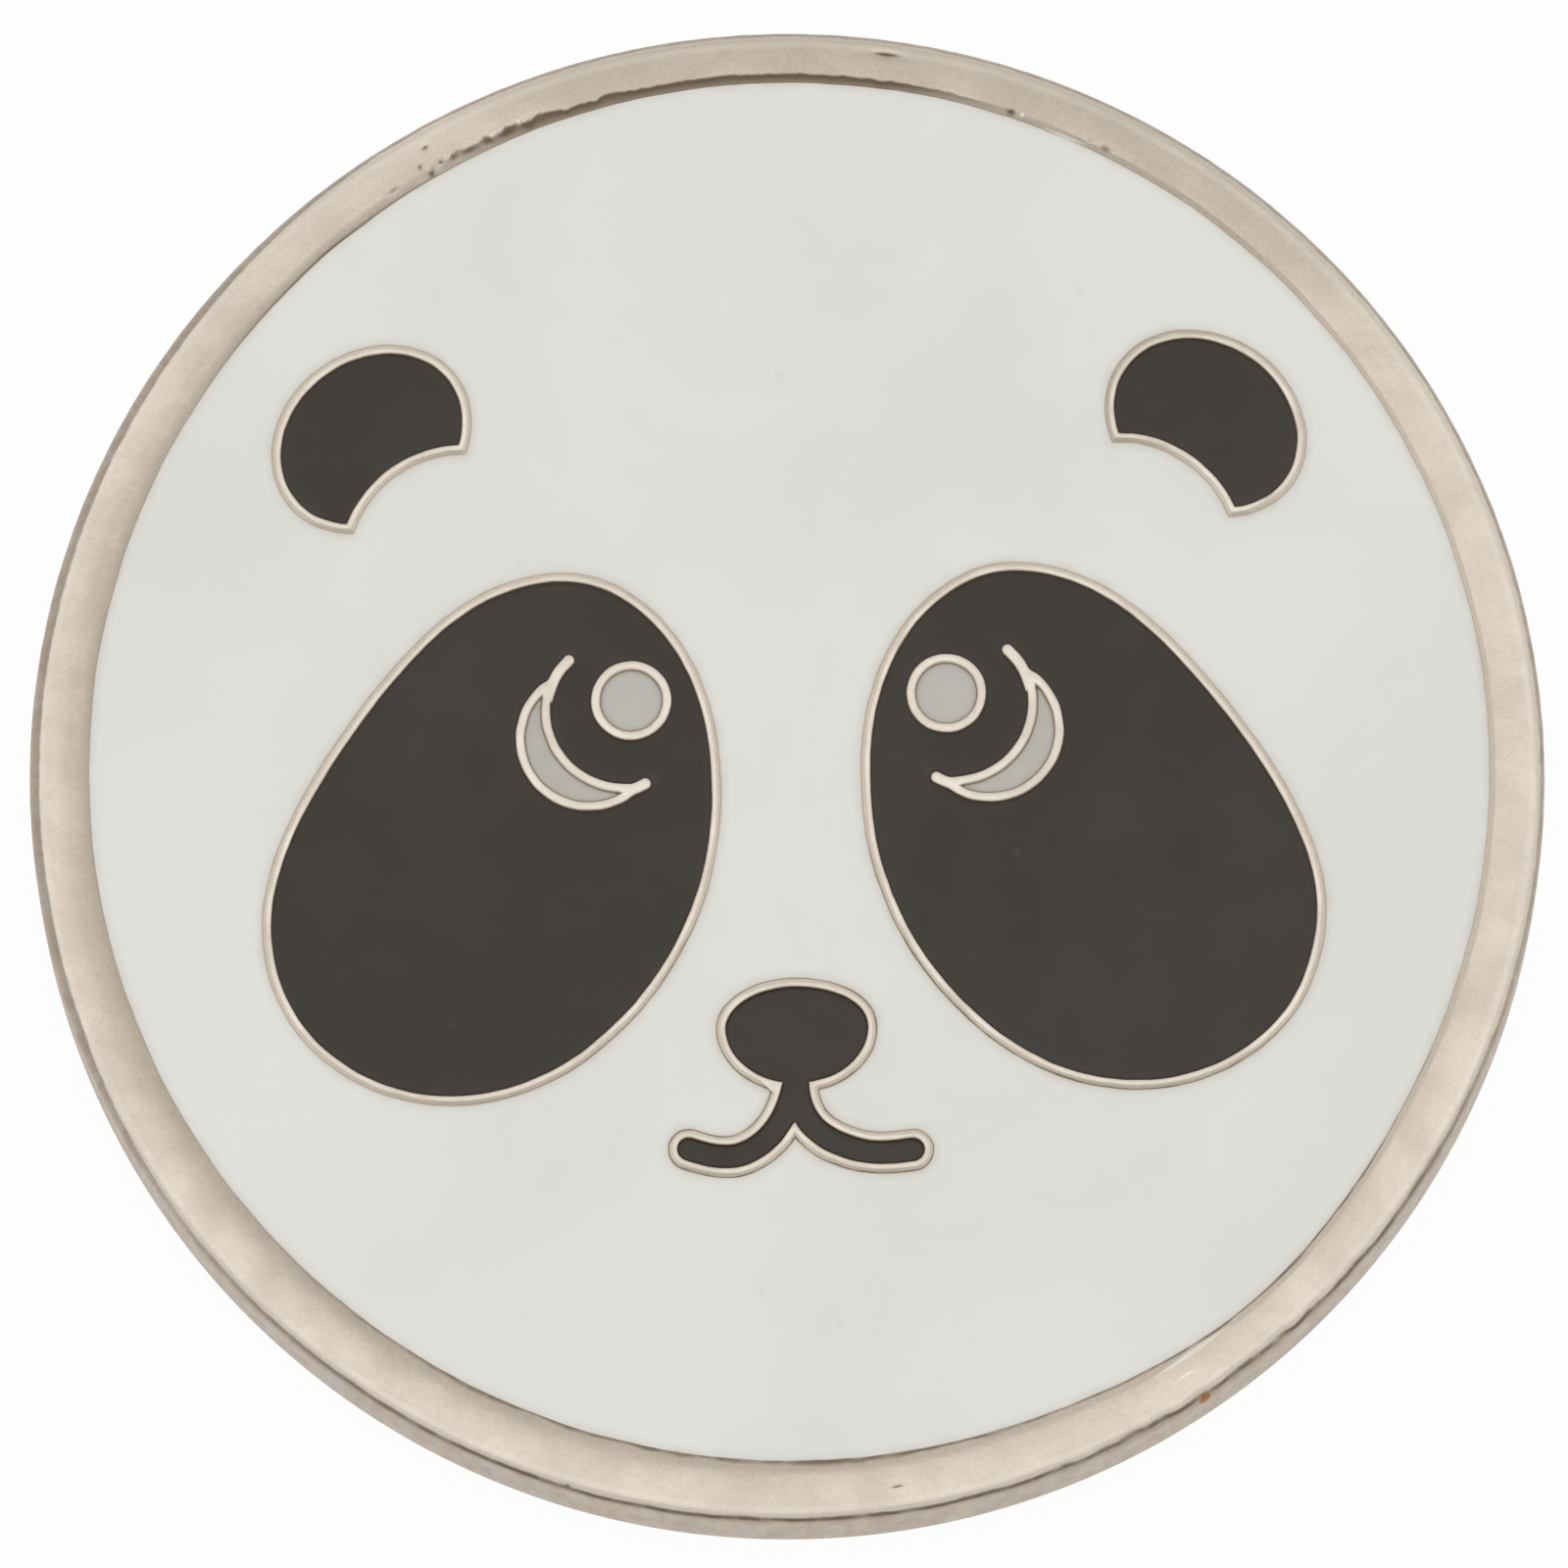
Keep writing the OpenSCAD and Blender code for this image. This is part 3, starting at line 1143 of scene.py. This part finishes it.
@dataclass
class StruckDisc:
    """The one piece of metal: base, side, raised rim and the walls between the colours.

    Attributes:
        cells: The enamel cells that the walls stand between.
        segments: How many steps the whole disc is spun in.
        sectors: How many copies of one spun sector make up the disc.
        crown: How much the rim's top is domed.
        slope_mid: The usual width of the slope from the rim down to the enamel.
        slope_lean: How much narrower it is on the right, and wider on the left.
        slope_shade_mid: How strong the painted shade on the slope usually is, from 0 to 1.
        slope_shade_lean: How much weaker that painted shade is on the right, and stronger on the
            left.
        wall_sway: The share by which the walls' banks vary in width.
        wall_root: How far the walls run down into the base.
        nicks: The dents in the rim.
    """

    cells: list[EnamelCell]
    segments: int = 1320
    sectors: int = 12
    crown: float = 0.016
    slope_mid: float = 0.21
    slope_lean: float = 0.11
    slope_shade_mid: float = 0.42
    slope_shade_lean: float = 0.24
    wall_sway: float = 0.2
    wall_root: float = 0.05
    nicks: tuple[Nick, ...] = (
        Nick(80.9, 12.22, 0.045, 0.015, 1.0, 5.5), Nick(118.3, 12.12, 0.045, 0.020, 0.9, 1.8),
        Nick(119.4, 11.88, 0.055, 0.020, 0.9), Nick(118.9, 11.70, 0.060, 0.020, 0.9),
        Nick(117.8, 11.79, 0.045, 0.020, 0.8), Nick(116.7, 11.77, 0.055, 0.020, 0.9, 1.5),
        Nick(115.3, 11.74, 0.050, 0.015, 0.8, 2.5), Nick(113.6, 11.75, 0.050, 0.015, 0.9, 1.5),
        Nick(111.9, 11.74, 0.050, 0.015, 0.9, 2.5), Nick(110.0, 11.76, 0.060, 0.020, 1.0, 1.5),
        Nick(109.0, 11.82, 0.045, 0.015, 0.9, 1.5), Nick(119.0, 11.79, 0.045, -0.004, -1.0),
        Nick(118.2, 11.71, 0.040, -0.004, -0.9), Nick(117.2, 11.83, 0.040, -0.004, -0.8),
        Nick(113.1, 11.81, 0.040, -0.004, -1.0), Nick(112.5, 11.83, 0.035, -0.004, -0.8),
        Nick(110.7, 11.84, 0.040, -0.004, -0.9), Nick(122.3, 11.78, 0.045, 0.015, 0.6, 2.5),
        Nick(70.2, 11.74, 0.07, 0.02, 0.9), Nick(69.3, 11.74, 0.05, -0.01, -1.0),
        Nick(65.5, 11.67, 0.035, 0.0, -0.8, 14.0), Nick(62.0, 11.76, 0.08, 0.020, 0.7, 1.5),
        Nick(63.5, 11.80, 0.05, 0.020, 0.6), Nick(35.5, 12.02, 0.08, 0.012, 0.3),
        Nick(33.8, 11.95, 0.06, 0.012), Nick(36.4, 12.12, 0.06, 0.012),
        Nick(251.8, 12.41, 0.05, 0.015, 0.6), Nick(277.3, 12.05, 0.035, 0.012, 1.0, 4.0),
        Nick(277.5, 12.11, 0.030, -0.004, -0.7, 4.0), Nick(205.8, 12.29, 0.10, 0.014, 0.2),
        Nick(303.5, 11.73, 0.04, -0.006, -1.0, 20.0), Nick(302.0, 11.99, 0.026, -0.004, -0.8, 11.0))

    def __post_init__(self) -> None:
        """Reads the disc's radii and heights from the frame."""
        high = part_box(DISC_NODE)[1] / MM
        field_low, field_high = (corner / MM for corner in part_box(FIELD_NODE))
        self.outer, self.top = high.x, high.z
        self.foot, self.enamel_top, self.floor = field_high.x, field_high.z, field_low.z
        metal = (v.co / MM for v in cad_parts[DISC_NODE].data.vertices)
        self.shoulder = max(math.hypot(p.x, p.y) for p in metal if p.z > self.top - 0.001)
        self.round = self.outer - self.shoulder

    def slope_width(self, angle: float) -> float:
        """Gives the width of the rim's inner slope.

        Args:
            angle: The azimuth, in radians.

        Returns:
            The width.
        """
        width = self.slope_mid - self.slope_lean * math.cos(angle - math.radians(20))
        around = Vector((math.cos(angle), math.sin(angle), 0.0))
        paces = ((28, 0.4), (62, 1.0), (97, 0.6))
        jag = sum(share * noise.noise(around * pace) for pace, share in paces)
        burrs = nearness(angle, 112, 6)
        ripple = 0.015 * noise.noise(around * 40)
        return width + ripple + (0.035 * self.torn(angle) + 0.07 * burrs) * jag

    @staticmethod
    def chipped(angle: float) -> float:
        """Gives how far the shoulder is chipped back, which it is only at the lower right.

        Args:
            angle: The azimuth, in radians.

        Returns:
            The distance.
        """
        around = Vector((math.cos(angle), math.sin(angle), 7.0))
        return nearness(angle, 303, 9) * 0.075 * max(0.0, 0.35 + noise.noise(around * 26))

    @staticmethod
    def torn(angle: float) -> float:
        """Returns how torn and steep the slope is at an azimuth, from 0 to 1: only at the top."""
        return nearness(angle, 95, 15)

    def section(self) -> list[Vector]:
        """Draws the half section, still with a level rim.

        Returns:
            Its points, from the middle of the back round to the middle of the floor.
        """
        arc = [math.radians(90 * k / 6) for k in range(7)]
        round_in = [(self.shoulder + self.round * math.sin(t), self.round * math.cos(t)) for t in arc]
        low, high = self.round, self.top - self.round
        inner = self.foot + self.slope_mid
        under = self.foot - 0.03
        line = [(0.0, 0.0), (self.shoulder - 0.3, 0.0), (self.shoulder - 0.05, 0.0)]
        line += [(r, low - z) for r, z in round_in]
        line += [(self.outer, low + (high - low) * k / 10) for k in range(1, 10)]
        line += [(r, high + z) for r, z in reversed(round_in)]
        line += [(self.shoulder + (inner - self.shoulder) * k / 10, self.top) for k in range(1, 11)]
        line += [(inner + (self.foot - inner) * k / 8, self.top) for k in range(1, 9)]
        line += [(under, self.enamel_top - 0.03), (under, self.floor), (0.0, self.floor)]
        return [Vector((r, 0.0, z)) for r, z in line]

    def spin_body(self, bm: bmesh.types.BMesh) -> None:
        """Spins the section into the disc and strikes the rim's shape into it.

        Args:
            bm: The mesh to add it to.
        """
        verts = [bm.verts.new(p) for p in self.section()]
        edges = [bm.edges.new(pair) for pair in zip(verts, verts[1:])]
        turn = 2 * math.pi / self.sectors
        bmesh.ops.spin(bm, geom=verts + edges, cent=(0, 0, 0), axis=(0, 0, 1), angle=turn,
                       steps=self.segments // self.sectors, use_merge=False, use_duplicate=False)
        sector = bm.verts[:] + bm.edges[:] + bm.faces[:]
        for k in range(1, self.sectors):
            copy = bmesh.ops.duplicate(bm, geom=sector)["geom"]
            placed = [v for v in copy if isinstance(v, bmesh.types.BMVert)]
            matrix = Matrix.Rotation(k * turn, 3, "Z")
            bmesh.ops.rotate(bm, cent=(0, 0, 0), matrix=matrix, verts=placed)
        bmesh.ops.remove_doubles(bm, verts=bm.verts, dist=1e-4)
        pit = bm.verts.layers.float[SHADE_HIGHLIGHT_LAYER]
        inset = bm.verts.layers.float[INSET_LAYER]
        for vert in bm.verts:
            radius = math.hypot(vert.co.x, vert.co.y)
            if radius < self.foot - 0.05 or vert.co.z < self.top / 2:
                continue
            # The two layers take the painted shade at the slope's foot and on the rim's inner slope.
            vert[pit], vert[inset] = self._strike(vert, radius)
            flat = Vector((vert.co.x, vert.co.y, 0.0))
            azimuth = math.degrees(math.atan2(vert.co.y, vert.co.x)) % 360
            for nick in self.nicks:
                if abs(nick.azimuth - azimuth) > 9:
                    continue
                share = nick.share(flat)
                vert.co.z -= share * nick.depth
                # The dent's bottom takes painted shade, a burr's top a painted highlight.
                vert[pit] = vert[pit] * (1 - share) + share * nick.dark
            vert.co.z = min(vert.co.z, self.top)

    def _strike(self, vert: bmesh.types.BMVert, radius: float) -> tuple[float, float]:
        """Gives a vertex of the rim its struck place.

        Args:
            vert: The vertex, still where the spin left it.
            radius: Its distance from the axis.

        Returns:
            How strong the painted shade at the slope's foot and the painted shade on the slope are
            there, each from 0 to 1.
        """
        edge_shade, wear_and_shade = 0.0, 0.0
        angle = math.atan2(vert.co.y, vert.co.x)
        chipped = self.chipped(angle)
        # Painted shade at the slope's foot, near azimuth 130.
        slope_foot_shade = max(0.0, 1 - abs(math.degrees(angle) - 130) / 28)
        # Painted shade on the rim's inner slope, stronger on the left.
        worn_and_shaded = self.slope_shade_mid - self.slope_shade_lean * math.cos(angle - math.radians(15))
        width = self.slope_width(angle)
        inner = self.foot + self.slope_mid
        drop = self.top - self.enamel_top
        height = vert.co.z
        moved = radius
        if height > self.top - 1e-4 and radius <= inner + 1e-4:
            share = (radius - self.foot) / self.slope_mid
            moved = self.foot + share * width
            height = self.top - drop * max(0.0, 1 - share) ** (2 - 0.9 * self.torn(angle))
            # Painted shade down the torn slope and at its foot.
            edge_shade = self.torn(angle) * min(1.0, 5 * (1 - share)) * (0.55 + 0.42 * share)
            edge_shade = max(edge_shade, 0.8 * slope_foot_shade * (1 - share / 0.4))
            wear_and_shade = worn_and_shaded * (1 - 0.2 * share)
        elif height > self.top - 1e-4:
            share = (radius - inner) / (self.shoulder - inner)
            moved = self.foot + width + share * (self.shoulder - self.foot - width)
            moved -= chipped * share ** 2
            height = self.top - self.crown * share ** 2
            wear_and_shade = worn_and_shaded * 0.8 * max(0.0, 1 - share / 0.65) ** 1.4
        elif radius > self.shoulder:
            around = Vector((math.cos(angle), math.sin(angle), 3.0))
            rise = max(0.0, (height - self.top + self.round) / self.round)
            moved -= 0.006 * (1 + noise.noise(around * 40)) + chipped * rise
            height -= self.crown
        vert.co.x, vert.co.y = moved * math.cos(angle), moved * math.sin(angle)
        vert.co.z = height
        near_shoulder = (moved - self.foot) / (self.shoulder - self.foot)
        around = Vector((vert.co.x, vert.co.y, 0.0))
        vert.co += field_offset(around) * (1 - min(1.0, max(0.0, near_shoulder)))
        near_foot = max(0.0, 1 - (moved - self.foot) / 0.3)
        vert.co += die_wander(Vector((vert.co.x, vert.co.y, 0.0))) * min(1.0, near_foot)
        return edge_shade, wear_and_shade

    def raise_walls(self, bm: bmesh.types.BMesh) -> None:
        """Raises a wall round every cell but the field, from its outline to the cell around it.

        Args:
            bm: The mesh to add them to.
        """
        top = self.top
        low = self.enamel_top
        sharp = ((0.0, low - 0.01), (0.008, top - 0.020), (0.020, top - 0.004), (0.035, top))
        sloped = ((0.0, low - 0.01), (0.015, low + 0.015), (0.040, top - 0.020),
                  (0.062, top - 0.004), (0.075, top))
        for cell in self.cells:
            outer = cell.outlines[0]
            around = [(hole, other) for other in self.cells
                      for hole in other.outlines[1:] if hole.holds(outer)]
            if not around:
                continue
            hole, other = min(around, key=lambda pair: pair[0].reach())
            outside = sloped if other.node == FIELD_NODE else sharp
            banks = [Bank(line.turned(), steps, self.wall_sway)
                     for line, steps in ((hole, outside), (outer, sharp))]
            Plateau(banks, self.floor - self.wall_root).build(bm)

    def build(self, material: bpy.types.Material) -> bpy.types.Object:
        """Builds the metal.

        Args:
            material: The nickel plate.

        Returns:
            The piece.
        """
        bm = new_mesh()
        self.spin_body(bm)
        self.raise_walls(bm)
        return finish_piece("struck_disc_metal", bm, material, (DISC_NODE,))


# ---------------------------------------------------------------- studio


@dataclass
class Studio:
    """The pale floor, the soft light overhead, the surroundings and the camera.

    Attributes:
        tilt: How far the camera leans from straight above, in degrees.
        azimuth: The side from which it looks, in degrees from +X.
        roll: How far the picture is turned, in degrees.
        distance: The camera's distance from the origin, in metres.
        lens: The focal length on a 36 mm sensor, in millimetres.
        shift: The lens shift that frames the object.
        floor_size: The width of the floor, in metres.
        lamp_size: The width and depth of the light, in metres.
        lamp_place: Where it hangs, in metres.
        lamp_radiance: How bright its face is.
    """

    tilt: float = 10.32
    azimuth: float = -90.75
    roll: float = 1.35
    distance: float = 0.4
    lens: float = 554.2
    shift: tuple[float, float] = (-0.0021, 0.0068)
    floor_size: float = 3.0
    lamp_size: tuple[float, float] = (0.94, 0.34)
    lamp_place: tuple[float, float, float] = (0.0, 0.11, 1.0)
    lamp_radiance: float = 0.55

    def lay_floor(self) -> None:
        """Lays the floor, which is white to the camera and in reflections but keeps the shadow."""
        bm = bmesh.new()
        bmesh.ops.create_grid(bm, x_segments=8, y_segments=8, size=self.floor_size / 2)
        mesh = bpy.data.meshes.new("studio_floor")
        bm.to_mesh(mesh)
        bm.free()
        floor = bpy.data.objects.new("studio_floor", mesh)
        floor.location.z = CAD_LOW.z - 0.02 * MM
        bpy.context.scene.collection.objects.link(floor)
        material, board, shader = new_material("studio_floor")
        cloud = board.noise(board.place(), 60.0)
        pale = board.blend(cloud, (0.80, 0.80, 0.80), (0.83, 0.83, 0.83))
        board.feed(shader.inputs["Base Color"], pale)
        shader.inputs["Roughness"].default_value = 0.9
        shader.inputs["Specular IOR Level"].default_value = 0.1
        path = board.add("ShaderNodeLightPath").outputs
        seen = board.most(path["Is Camera Ray"], path["Is Glossy Ray"])
        seen = board.most(seen, path["Is Transmission Ray"])
        glow = board.add("ShaderNodeEmission", {"Color": (1.0, 1.0, 1.0), "Strength": 1.0})
        layers = {0: board.times(seen, 0.95), 1: shader.outputs[0], 2: glow.outputs[0]}
        mixed = board.add("ShaderNodeMixShader", layers).outputs[0]
        output = next(n for n in material.node_tree.nodes if n.type == "OUTPUT_MATERIAL")
        board.feed(output.inputs["Surface"], mixed)
        mesh.materials.append(material)

    def hang_light(self) -> None:
        """Hangs a wide soft light over the object, a little behind it."""
        lamp = bpy.data.lights.new("overhead_softbox", "AREA")
        lamp.shape = "RECTANGLE"
        lamp.size, lamp.size_y = self.lamp_size
        lamp.energy = self.lamp_radiance * 4 * lamp.size * lamp.size_y
        softbox = bpy.data.objects.new("overhead_softbox", lamp)
        softbox.location = self.lamp_place
        bpy.context.scene.collection.objects.link(softbox)

    def paint_surroundings(self) -> None:
        """Sets the surroundings: white behind the object, pale walls and a dim front."""
        world = bpy.data.worlds.new("studio_room")
        world.use_nodes = True
        bpy.context.scene.world = world
        board = Board(world.node_tree)
        background = world.node_tree.nodes["Background"]
        heading = board.add("ShaderNodeTexCoord").outputs["Generated"]
        parts = board.add("ShaderNodeSeparateXYZ", {0: heading}).outputs
        front = board.span(board.times(parts[1], -1.0), 0.70, 0.92)
        walls = board.span(parts[2], 0.25, 0.95, 0.80, 0.60)
        backdrop = board.span(parts[2], 0.10, 0.02)
        room = board.most(walls, backdrop)
        room = board.times(room, board.minus(1.0, board.times(front, 0.40)))
        path = board.add("ShaderNodeLightPath").outputs
        lit = board.span(parts[2], 0.0, 0.8, 0.78, 1.0)
        lit = board.times(lit, board.minus(1.0, board.times(front, 0.35)))
        level = board.add("ShaderNodeMix", {0: path["Is Glossy Ray"], 2: lit, 3: room}).outputs[0]
        seen = board.most(path["Is Camera Ray"], path["Is Transmission Ray"])
        board.feed(background.inputs["Strength"],
                   board.add("ShaderNodeMix", {0: seen, 2: level, 3: 1.0}).outputs[0])
        background.inputs["Color"].default_value = (1.0, 1.0, 1.0, 1.0)

    def set_camera(self) -> None:
        """Sets the camera over the face, leaning a little towards its foot."""
        lean, side, roll = (math.radians(v) for v in (self.tilt, self.azimuth, self.roll))
        back = Matrix.Rotation(side, 3, "Z") @ Vector((math.sin(lean), 0.0, math.cos(lean)))
        right = Vector((math.sin(roll), math.cos(roll), 0.0)).cross(back).normalized()
        up = back.cross(right)
        data = bpy.data.cameras.new("product_camera")
        data.lens = self.lens
        data.shift_x, data.shift_y = self.shift
        data.clip_start, data.clip_end = 0.01, 10.0
        camera = bpy.data.objects.new("product_camera", data)
        turned = Matrix((right, up, back)).transposed().to_4x4()
        camera.matrix_world = Matrix.Translation(back * self.distance) @ turned
        bpy.context.scene.collection.objects.link(camera)
        bpy.context.scene.camera = camera

    def build(self) -> None:
        """Sets up the whole studio."""
        self.lay_floor()
        self.hang_light()
        self.paint_surroundings()
        self.set_camera()
        bpy.context.scene.view_settings.view_transform = "Standard"


def enamel_cells() -> list[EnamelCell]:
    """Lists the enamel cells.

    Returns:
        The cells, the field first.
    """
    narrow = {"depths": (0.0, 0.02, 0.05), "dips": (0.010, 0.003, 0.0)}
    cells = [EnamelCell(FIELD_NODE, WHITE_ENAMEL, Coat.WHITE)]
    for side in ("left", "right"):
        cells.append(EnamelCell(f"{side}_ear_enamel", BLACK_ENAMEL, Coat.BLACK))
        cells.append(EnamelCell(f"{side}_eye_patch_enamel", BLACK_ENAMEL, Coat.BLACK))
        cells.append(EnamelCell(f"{side}_eye_glint_enamel", GREY_ENAMEL, Coat.GREY))
        cells.append(EnamelCell(f"{side}_eye_crescent_enamel", GREY_ENAMEL, Coat.GREY, **narrow))
    thin = {"depths": (0.0, 0.02, 0.05, 0.09), "dips": (0.012, 0.004, 0.0, 0.0)}
    cells.append(EnamelCell("nose_mouth_enamel", BLACK_ENAMEL, Coat.BLACK, **thin))
    return cells


def main() -> None:
    """Builds the marker and its studio."""
    logging.basicConfig(level=logging.INFO, format="%(name)s: %(message)s")
    # The noise vectors start from the clock otherwise, and the die would differ each run.
    noise.seed_set(DIE_SEED)
    Studio().build()
    fx = Effects()
    enamels = (WHITE_ENAMEL, BLACK_ENAMEL, GREY_ENAMEL)
    materials = {enamel.name: enamel.build(fx) for enamel in enamels}
    cells = enamel_cells()
    StruckDisc(cells).build(NickelPlate().build(fx))
    for cell in cells:
        cell.build(materials[cell.enamel.name])


if __name__ == "__main__":
    main()
